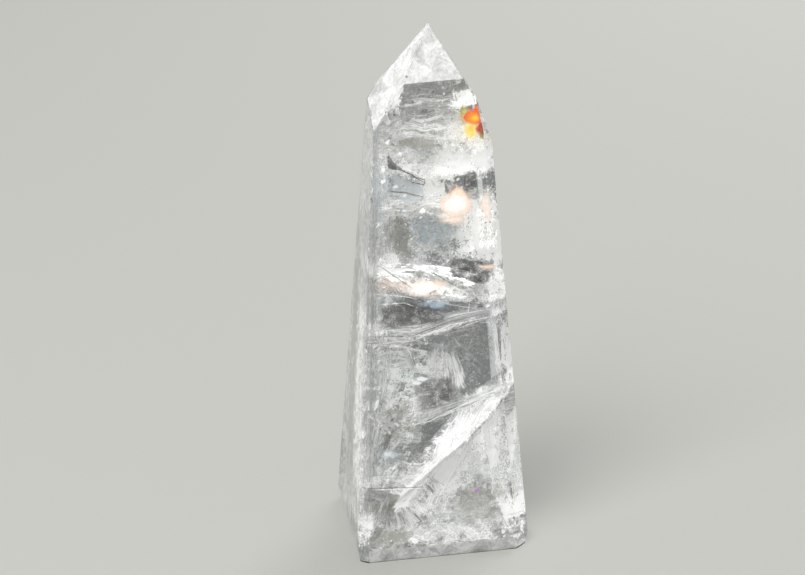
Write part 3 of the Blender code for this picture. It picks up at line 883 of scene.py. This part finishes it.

# Each soft round patch: look, density, tones at the middle and at the rim, depth, its middle as
# (across, down) and its half sizes across and down in picture points.
# The warm and cool patches are painted glints: glowing spots of light caught inside the stone.
PATCHES = {
    "colour_olive": ("film", 1.1, (0.79, 0.79), 0.06, (464.5, 114.5), (8, 14)),
    "colour_yellow": ("film", 1.4, (0.62, 0.70), 0.05, (471.5, 129.5), (12, 14)),
    "colour_orange": ("film", 1.6, (0.48, 0.16), 0.03, (475, 117), (16, 11)),
    "colour_orange_heart": ("film", 1.0, (0.56, 0.48), 0.02, (476, 119), (10, 6)),
    "colour_dark_red": ("film", 1.5, (0.14, 0.04), 0.04, (482.5, 129), (9, 12)),
    "colour_olive_low": ("film", 1.1, (0.79, 0.79), 0.035, (484, 134.5), (8, 8)),
    "colour_red_tip": ("film", 1.1, (0.32, 0.18), 0.035, (478, 110), (7, 8)),
    "warm_glint": ("warm", 1.7, (1.5, -0.5), 0.08, (456.5, 203), (21, 20)),
    "warm_streak": ("warm", 0.8, (0.8, -0.3), 0.08, (452, 220), (20, 7)),
    "warm_spot": ("warm", 0.9, (-0.1, -0.5), 0.07, (459, 192.5), (8, 6)),
    "warm_bar": ("warm", 1.0, (1.3, 0.1), 0.10, (424, 288), (32, 13)),
    "warm_bar_rim": ("warm", 0.7, (0.0, -0.4), 0.09, (440, 284), (13, 7)),
    "warm_haze": ("warm", 0.45, (0.6, 0.2), 0.10, (389, 284), (26, 13)),
    "warm_edge": ("warm", 0.8, (0.0, -0.4), 0.05, (489, 267), (16, 3.5)),
    "warm_chamfer": ("warm", 0.8, (0.7, -0.1), 0.05, (488, 206), (11, 21)),
    "blue_glint": ("cool", 0.9, (0.4, -0.2), 0.06, (434, 305), (22, 7)),
    "lens_spot": ("cool", 0.95, (1.2, 0.1), 0.08, (391, 455), (15, 8)),
    "sparkle": ("cool", 1.4, (1.4, 0.4), 0.08, (422, 379), (9, 3.5)),
    "sparkle_low": ("cool", 1.0, (1.3, 0.4), 0.08, (416, 383), (9, 3.5)),
    "purple_speck": ("film", 1.2, (1.0, 1.0), 0.05, (477, 490.5), (4, 3)),
    "bright_speck_a": ("cool", 1.4, (1.4, 1.0), 0.04, (415, 541), (5, 4)),
    "bright_speck_b": ("cool", 1.3, (1.4, 1.0), 0.04, (418.5, 553), (4.5, 3.5)),
    "left_orange_dot": ("warm", 1.5, (-0.2, -0.5), 0.03, (345.5, 479), (4, 7)),
    "left_blue_dot": ("cool", 1.5, (0.5, -0.2), 0.03, (347.5, 486), (5, 5)),
}
PATCH_RINGS = 6
PATCH_SPOKES = 20
PATCH_UNEVENNESS = 0.28
PATCH_GRAIN = 0.13

# Sheets: the steps along a side, the limits of depth, how they roll and where they wear thin.
FEWEST_STEPS = 6
LARGEST_STEPS = 90
SHALLOWEST = 0.01
DEEPEST = 0.985
SEED_STEP = 7.31
ROLL_ALONG = 0.16
ROLL_AWAY = 0.22
ROLL_SIDEWAYS = 0.6
ROLL_SMOOTHNESS = 1.0
ROLL_OCTAVE = 2.2
SIDEWAYS_START = Vector((9.0, 2.0, 0.0))
WORN_START = Vector((0.0, 0.0, 40.0))
WORN_SHARE = 0.22
WORN_EVERYWHERE = 0.08
BAREST_COVER = 0.02

# A sheet's border: how square its corners are and how ragged its coarse and fine tears.
SQUARENESS = 3.5
COARSE_TEARS = 4.0
FINE_TEARS = 11.0
RAGGEDNESS = 0.22

FROST_SHARE = 0.985

# Flakes of a swarm: how far they stray from their sheet, their spread of sizes and their shapes.
FLAKE_STRAY_DOWN = 1.5
FLAKE_STRAY_DEPTH = 0.05
FLAKE_DEPTHS = (0.02, 0.97)
FLAKE_SMALLNESS = 2.2
FLAKE_SLIMNESS = (0.3, 0.9)
FLAKE_SIDES = (3, 4, 5, 6)
FLAKE_CORNER_SHIFT = 0.3
FLAKE_CORNER_REACH = (0.7, 1.1)
FLAKE_COVER = (0.35, 0.9)

# Specks: how far they stray, and how much they turn aside and dip from level, with the spread.
SPECK_STRAY_DOWN = 3.0
SPECK_DEPTHS = (0.03, 0.95)
SPECK_TURN = 0.3
SPECK_DIP = (-0.2, 0.25)
SPECK_COVER = 1.2

# Fine lines: steps between two points, their waver in picture points and how they taper.
LINE_STEPS = 8
LINE_WAVER = 0.5
LINE_WAVER_GRAIN = 0.25
LINE_TAPER = 0.6
LINE_TIP = 0.15
LINE_COVER = 0.8
LINE_LEAN = Vector((0.3, 0.2, 1.0))


def blend_corners(corners, along, away):
    near = [a + (b - a) * along for a, b in zip(corners[0], corners[1])]
    far = [a + (b - a) * along for a, b in zip(corners[3], corners[2])]
    return [a + (b - a) * away for a, b in zip(near, far)]


def edge_fade(along, away, seed, softness):
    """1 well inside the sheet, 0 on its border, with rounded corners and an uneven border."""
    across, up = abs(2.0 * along - 1.0), abs(2.0 * away - 1.0)
    out = (across**SQUARENESS + up**SQUARENESS) ** (1.0 / SQUARENESS)
    ragged = noise.noise(Vector((along * COARSE_TEARS, away * COARSE_TEARS, seed)))
    ragged += 0.5 * noise.noise(Vector((along * FINE_TEARS, away * FINE_TEARS, seed + 3.0)))
    return max(0.0, min(1.0, (1.0 - out + RAGGEDNESS * ragged) / softness))


class Shape:
    """Points and faces of a flaw, with how densely each point covers, its tone and its span."""

    def __init__(self):
        self.points = []
        self.faces = []
        self.cover = []
        self.tone = []
        self.span = []

    def add(self, points, faces, cover, tone, spans):
        first = len(self.points)
        self.points += points
        self.faces += [tuple(first + corner for corner in face) for face in faces]
        self.cover += [cover] * len(points)
        self.tone += [tone] * len(points)
        self.span += spans

    def piece(self, name, look):
        mesh = bpy.data.meshes.new(name)
        mesh.from_pydata(self.points, [], self.faces)
        span = mesh.uv_layers.new(name="span")
        for loop in mesh.loops:
            span.data[loop.index].uv = self.span[loop.vertex_index]
        for key, values in (("cover", self.cover), ("tone", self.tone)):
            mesh.attributes.new(key, "FLOAT", "POINT").data.foreach_set("value", values)
        mesh.materials.append(material_for(look))
        piece = bpy.data.objects.new(name, mesh)
        bpy.context.scene.collection.objects.link(piece)
        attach(piece, "root")
        return piece


def material_for(look):
    name = "quartz_" + look
    return bpy.data.materials.get(name) or flaw_material(name, LOOKS[look])


def side_steps(length, pitch):
    return max(FEWEST_STEPS, min(LARGEST_STEPS, int(length / pitch)))


def build_sheet(stone, name, number, settings):
    """A waving sheet through its corners, without the parts that are bare of flaws."""
    look, density, tone, waviness, face, corners = SHEETS[name]
    density *= settings.cloudiness
    places = [stone.place(*corner, face=face) for corner in corners]
    width = max((places[1] - places[0]).length, (places[2] - places[3]).length)
    length = max((places[3] - places[0]).length, (places[2] - places[1]).length)
    columns = side_steps(width, settings.sheet_pitch)
    rows = side_steps(length, settings.sheet_pitch)
    seed = number * SEED_STEP
    softness = LOOKS[look]["rim"]
    points, covers, spans = [], [], []
    for row in range(rows + 1):
        for column in range(columns + 1):
            along, away = column / columns, row / rows
            across, down, depth = blend_corners(corners, along, away)
            roll = Vector((along * width / MM * ROLL_ALONG, away * length / MM * ROLL_AWAY, seed))
            sway = noise.fractal(roll + SIDEWAYS_START, ROLL_SMOOTHNESS, ROLL_OCTAVE, 3)
            down += waviness * noise.fractal(roll, ROLL_SMOOTHNESS, ROLL_OCTAVE, 4)
            across += waviness * ROLL_SIDEWAYS * sway
            depth = max(SHALLOWEST, min(DEEPEST, depth))
            wanted = stone.place(across, down, depth, face)
            points.append(stone.keep_in(wanted))
            worn = WORN_SHARE * noise.noise(roll * 2.0 + WORN_START)
            cover = density * edge_fade(along, away, seed, softness) + worn - WORN_EVERYWHERE
            covers.append(cover if (points[-1] - wanted).length < settings.sheet_pitch else 0.0)
            spans.append((along * width / MM + seed * 3.7, away * length / MM + seed * 1.9))
    shape, kept = Shape(), {}
    for row in range(rows):
        for column in range(columns):
            first = row * (columns + 1) + column
            ring = (first, first + 1, first + columns + 2, first + columns + 1)
            if max(covers[i] for i in ring) > BAREST_COVER:
                shape.faces.append(tuple(kept.setdefault(i, len(kept)) for i in ring))
    shape.points = [points[i] for i in kept]
    shape.cover = [max(0.0, covers[i]) for i in kept]
    shape.tone = [tone] * len(kept)
    shape.span = [spans[i] for i in kept]
    shape.piece(name, look).data.shade_smooth()


def build_frost(stone, name):
    """A copy of one flat face just under the surface."""
    density, tone = FROSTED_FACES[name]
    flat = stone.face(name)
    area = sum(p.area for p in flat)
    centre = sum((p.center * p.area for p in flat), Vector()) / area
    inward = -face_direction(name) * SKIN
    side = inward.orthogonal().normalized()
    up = side.cross(inward).normalized()
    shape = Shape()
    for polygon in flat:
        corners = [stone.mesh.vertices[i].co.copy() for i in polygon.vertices]
        points = [centre + (corner - centre) * FROST_SHARE + inward for corner in corners]
        spans = [((p - centre).dot(side) / MM, (p - centre).dot(up) / MM) for p in points]
        shape.add(points, [tuple(range(len(points)))], density, tone, spans)
    shape.piece("frost_" + name, "frost")


def build_swarm(stone, name, chance, share):
    """Small flat flakes with three to six corners, strewn along a sheet."""
    look, count, sizes, spread, tones, corners = SWARMS[name]
    places = [stone.place(*corner) for corner in corners]
    lie = (places[1] - places[0]).cross(places[3] - places[0]).normalized()
    shape = Shape()
    for _ in range(round(count * share)):
        across, down, depth = blend_corners(corners, chance.random(), chance.random())
        down += chance.gauss(0.0, FLAKE_STRAY_DOWN)
        depth += chance.gauss(0.0, FLAKE_STRAY_DEPTH)
        centre = stone.place(across, down, max(FLAKE_DEPTHS[0], min(FLAKE_DEPTHS[1], depth)))
        tilt = Vector((chance.gauss(0, 1), chance.gauss(0, 1), chance.gauss(0, 1))).normalized()
        turn = Quaternion(tilt, math.radians(chance.uniform(0, spread)))
        facing = turn @ lie
        first = facing.orthogonal().normalized()
        second = facing.cross(first)
        size = sizes[0] + (sizes[1] - sizes[0]) * chance.random() ** FLAKE_SMALLNESS
        slim = chance.uniform(*FLAKE_SLIMNESS)
        start = chance.uniform(0, math.tau)
        sides = chance.choice(FLAKE_SIDES)
        points, spans = [], []
        for step in range(sides):
            shift = chance.uniform(-FLAKE_CORNER_SHIFT, FLAKE_CORNER_SHIFT)
            angle = start + (step + shift) * math.tau / sides
            out = size / 2 * chance.uniform(*FLAKE_CORNER_REACH) * MM
            offset = first * (math.cos(angle) * out) + second * (math.sin(angle) * out * slim)
            points.append(stone.keep_in(centre + offset))
            spans.append((offset.dot(first) / MM + across, offset.dot(second) / MM + down))
        cover = chance.uniform(*FLAKE_COVER)
        shape.add(points, [tuple(range(sides))], cover, chance.uniform(*tones), spans)
    shape.piece(name, look)


OCTAHEDRON = ((0, 2, 4), (2, 1, 4), (1, 3, 4), (3, 0, 4), (2, 0, 5), (1, 2, 5), (3, 1, 5), (0, 3, 5))


def build_scatter(stone, name, chance):
    """Fine eight-sided specks, most of them long and level."""
    count, sizes, stretch, tones, corners = SCATTERS[name]
    shape = Shape()
    for _ in range(count):
        across, down, depth = blend_corners(corners, chance.random(), chance.random())
        down += chance.gauss(0.0, SPECK_STRAY_DOWN)
        depth = max(SPECK_DEPTHS[0], min(SPECK_DEPTHS[1], depth))
        centre = stone.keep_in(stone.place(across, down, depth), SPECK_SKIN)
        size = chance.uniform(*sizes) * MM
        longest = size * chance.uniform(1.0, stretch)
        aside, dip = chance.gauss(0, SPECK_TURN), chance.gauss(*SPECK_DIP)
        first = Vector((1.0, aside, dip)).normalized()
        second = first.orthogonal().normalized()
        third = first.cross(second)
        axes = (first * longest, second * size, third * size)
        points = [centre + axis * sign for axis in axes for sign in (1, -1)]
        spans = [(across, down)] * len(points)
        shape.add(points, OCTAHEDRON, SPECK_COVER, chance.uniform(*tones), spans)
    shape.piece(name, "flake")


def build_line(stone, name):
    """A thin four-sided thread through its points, thinner toward both ends."""
    look, tone, thickness, stops = LINES[name]
    centres = []
    for start, end in zip(stops, stops[1:]):
        for step in range(LINE_STEPS):
            across, down, depth = [a + (b - a) * step / LINE_STEPS for a, b in zip(start, end)]
            where = Vector((across * LINE_WAVER_GRAIN, down * LINE_WAVER_GRAIN, thickness * 50))
            centres.append(stone.place(across, down + LINE_WAVER * noise.noise(where), depth))
    centres.append(stone.place(*stops[-1]))
    margin = LINE_SKIN + thickness / 2 * MM
    centres = [stone.keep_in(centre, margin) for centre in centres]
    points, spans, faces = [], [], []
    for index, centre in enumerate(centres):
        ahead = centres[min(index + 1, len(centres) - 1)] - centres[max(index - 1, 0)]
        side = ahead.cross(LINE_LEAN).normalized()
        top = side.cross(ahead).normalized()
        taper = math.sin(math.pi * (index + 0.5) / len(centres)) ** LINE_TAPER
        half = thickness / 2 * MM * max(LINE_TIP, taper)
        for arm in (side, top, -side, -top):
            points.append(centre + arm * half)
            spans.append((index * 0.4, stops[0][0]))
    for index in range(len(centres) - 1):
        for corner in range(4):
            a, b = index * 4 + corner, index * 4 + (corner + 1) % 4
            faces.append((a, b, b + 4, a + 4))
    last = len(points) - 4
    faces += [(3, 2, 1, 0), (last, last + 1, last + 2, last + 3)]
    shape = Shape()
    shape.add(points, faces, LINE_COVER, tone, spans)
    shape.piece(name, look)


def build_patch(stone, name):
    """A soft disc, densest at its middle and uneven round its rim."""
    look, density, tones, depth, middle, half = PATCHES[name]
    shape = Shape()
    for ring in range(PATCH_RINGS + 1):
        out = ring / PATCH_RINGS
        for spoke in range(PATCH_SPOKES if ring else 1):
            angle = math.tau * spoke / PATCH_SPOKES
            turn = Vector((math.cos(angle), math.sin(angle), middle[0]))
            uneven = 1.0 + PATCH_UNEVENNESS * noise.noise(turn * 1.3)
            across = middle[0] + half[0] * out * uneven * turn.x
            down = middle[1] + half[1] * out * uneven * turn.y
            shape.points.append(stone.keep_in(stone.place(across, down, depth)))
            shape.cover.append(density * (1.0 - out**2) ** 2)
            shape.tone.append(tones[0] + (tones[1] - tones[0]) * out)
            shape.span.append((across * PATCH_GRAIN, down * PATCH_GRAIN))
    for spoke in range(PATCH_SPOKES):
        beside = (spoke + 1) % PATCH_SPOKES
        shape.faces.append((0, 1 + spoke, 1 + beside))
        for ring in range(PATCH_RINGS - 1):
            inner = 1 + ring * PATCH_SPOKES
            outer = inner + PATCH_SPOKES
            shape.faces.append((inner + spoke, outer + spoke, outer + beside, inner + beside))
    shape.piece(name, look).data.shade_smooth()


class QUARTZ_OT_polish_stone(bpy.types.Operator):
    """Dresses the solid as clear polished quartz"""

    bl_idname = "quartz.polish_stone"
    bl_label = "Polish Stone"

    def execute(self, context):
        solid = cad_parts["crystal"]
        material = clear_quartz(context.scene.quartz_stone)
        solid.data.materials.clear()
        solid.data.materials.append(material)
        return {"FINISHED"}


class QUARTZ_OT_add_veils(bpy.types.Operator):
    """Adds the veils, fractures and smoky wisps as sheets inside the stone"""

    bl_idname = "quartz.add_veils"
    bl_label = "Add Veils and Fractures"

    def execute(self, context):
        stone = Stone(context.scene)
        for number, name in enumerate(SHEETS):
            build_sheet(stone, name, number, context.scene.quartz_flaws)
        for name in FROSTED_FACES:
            build_frost(stone, name)
        return {"FINISHED"}


class QUARTZ_OT_add_flakes(bpy.types.Operator):
    """Adds the swarms of small bright and dark flakes along the fractures"""

    bl_idname = "quartz.add_flakes"
    bl_label = "Add Flakes"

    def execute(self, context):
        stone = Stone(context.scene)
        settings = context.scene.quartz_flaws
        chance = random.Random(settings.seed)
        for name in SWARMS:
            build_swarm(stone, name, chance, settings.flake_share)
        return {"FINISHED"}


class QUARTZ_OT_add_specks(bpy.types.Operator):
    """Adds the fine specks and lines"""

    bl_idname = "quartz.add_specks"
    bl_label = "Add Specks and Lines"

    def execute(self, context):
        stone = Stone(context.scene)
        chance = random.Random(context.scene.quartz_flaws.seed + 1)
        for name in SCATTERS:
            build_scatter(stone, name, chance)
        for name in LINES:
            build_line(stone, name)
        return {"FINISHED"}


class QUARTZ_OT_add_glints(bpy.types.Operator):
    """Adds the soft glints and the film of colours at the right shoulder"""

    bl_idname = "quartz.add_glints"
    bl_label = "Add Glints and Colours"

    def execute(self, context):
        stone = Stone(context.scene)
        for name in PATCHES:
            build_patch(stone, name)
        return {"FINISHED"}


class QUARTZ_OT_set_stage(bpy.types.Operator):
    """Adds the floor, the soft light and the camera"""

    bl_idname = "quartz.set_stage"
    bl_label = "Set Stage"

    def execute(self, context):
        scene = context.scene
        stage = scene.quartz_stage
        add_floor(stage)
        add_lights(scene, stage)
        add_camera(scene, stage)
        scene.view_settings.view_transform = "Standard"
        scene.cycles.max_bounces = 20
        scene.cycles.diffuse_bounces = 4
        scene.cycles.glossy_bounces = 8
        scene.cycles.transmission_bounces = 16
        scene.cycles.transparent_max_bounces = 56
        return {"FINISHED"}


FLOOR_HALF = 1.5

# The light from all round, from straight below (0) to straight above (1).
SKY = [
    (0.0, (0.35, 0.36, 0.37)),
    (0.5, (0.62, 0.63, 0.64)),
    (0.75, (0.95, 0.96, 0.97)),
    (1.0, (1.15, 1.15, 1.13)),
]

# Each soft square light: its place, its width and its share of the key light's power.
LIGHTS = {
    "key_light": ((-0.34, -0.30, 0.52), 0.36, 1.0),
    "back_light": ((0.30, 0.42, 0.38), 0.30, 0.5),
}
LIT_POINT = Vector((0.0, 0.0, 0.03))


def add_floor(stage):
    half = FLOOR_HALF
    mesh = bpy.data.meshes.new("floor")
    corners = [(-half, -half, 0), (half, -half, 0), (half, half, 0), (-half, half, 0)]
    mesh.from_pydata(corners, [], [(0, 1, 2, 3)])
    material, graph = new_graph("floor")
    # Painted shade: the floor is darker to rays that come through the stone, and pale to the camera.
    through = graph.node("ShaderNodeLightPath", output=6)
    colour = graph.mix(through, tuple(stage.floor_colour), tuple(stage.seen_through_painted_shade))
    shader = graph.node("ShaderNodeBsdfPrincipled", None, {"Base Color": colour, "Roughness": 0.8})
    graph.show(shader)
    mesh.materials.append(material)
    floor = bpy.data.objects.new("floor", mesh)
    bpy.context.scene.collection.objects.link(floor)


def add_lights(scene, stage):
    world = bpy.data.worlds.new("surroundings")
    world.use_nodes = True
    world.node_tree.nodes.clear()
    graph = Graph(world.node_tree)
    where = graph.node("ShaderNodeTexCoord")
    upward = graph.node("ShaderNodeSeparateXYZ", None, {0: where}, output=2)
    colour = graph.ramp(0.5 + upward * 0.5, SKY)
    light = graph.node(
        "ShaderNodeBackground", None, {"Color": colour, "Strength": stage.sky_strength}
    )
    out = graph.tree.nodes.new("ShaderNodeOutputWorld")
    graph.tree.links.new(light.socket, out.inputs["Surface"])
    scene.world = world
    for name, (place, size, share) in LIGHTS.items():
        data = bpy.data.lights.new(name, "AREA")
        data.shape = "SQUARE"
        data.size = size
        data.energy = stage.key_power * share
        lamp = bpy.data.objects.new(name, data)
        scene.collection.objects.link(lamp)
        lamp.location = place
        aim = LIT_POINT - Vector(place)
        lamp.rotation_euler = aim.to_track_quat("-Z", "Y").to_euler()


def add_camera(scene, stage):
    data = bpy.data.cameras.new("camera")
    data.lens = stage.lens
    data.sensor_width = SENSOR_WIDTH
    data.clip_start = 0.01
    camera = bpy.data.objects.new("camera", data)
    scene.collection.objects.link(camera)
    camera.matrix_world = Sight(stage).matrix()
    scene.camera = camera


class QUARTZ_PT_tower(bpy.types.Panel):
    """Lists the steps that make the tower"""

    bl_label = "Quartz Tower"
    bl_space_type = "VIEW_3D"
    bl_region_type = "UI"
    bl_category = "Quartz"

    def draw(self, context):
        scene = context.scene
        for operator in OPERATORS:
            self.layout.operator(operator.bl_idname)
        for group in (scene.quartz_stone, scene.quartz_flaws, scene.quartz_stage):
            box = self.layout.box()
            for name in group.bl_rna.properties.keys():
                if name not in ("rna_type", "name"):
                    box.prop(group, name)


OPERATORS = (
    QUARTZ_OT_polish_stone,
    QUARTZ_OT_add_veils,
    QUARTZ_OT_add_flakes,
    QUARTZ_OT_add_specks,
    QUARTZ_OT_add_glints,
    QUARTZ_OT_set_stage,
)
GROUPS = {
    "quartz_stone": StoneSettings,
    "quartz_flaws": FlawSettings,
    "quartz_stage": StageSettings,
}


def register():
    for group in GROUPS.values():
        bpy.utils.register_class(group)
    for name, group in GROUPS.items():
        setattr(bpy.types.Scene, name, PointerProperty(type=group))
    for operator in OPERATORS:
        bpy.utils.register_class(operator)
    bpy.utils.register_class(QUARTZ_PT_tower)


def unregister():
    bpy.utils.unregister_class(QUARTZ_PT_tower)
    for operator in reversed(OPERATORS):
        bpy.utils.unregister_class(operator)
    for name in GROUPS:
        delattr(bpy.types.Scene, name)
    for group in reversed(list(GROUPS.values())):
        bpy.utils.unregister_class(group)


def main():
    register()
    bpy.ops.quartz.polish_stone()
    bpy.ops.quartz.add_veils()
    bpy.ops.quartz.add_flakes()
    bpy.ops.quartz.add_specks()
    bpy.ops.quartz.add_glints()
    bpy.ops.quartz.set_stage()


if __name__ == "__main__":
    main()
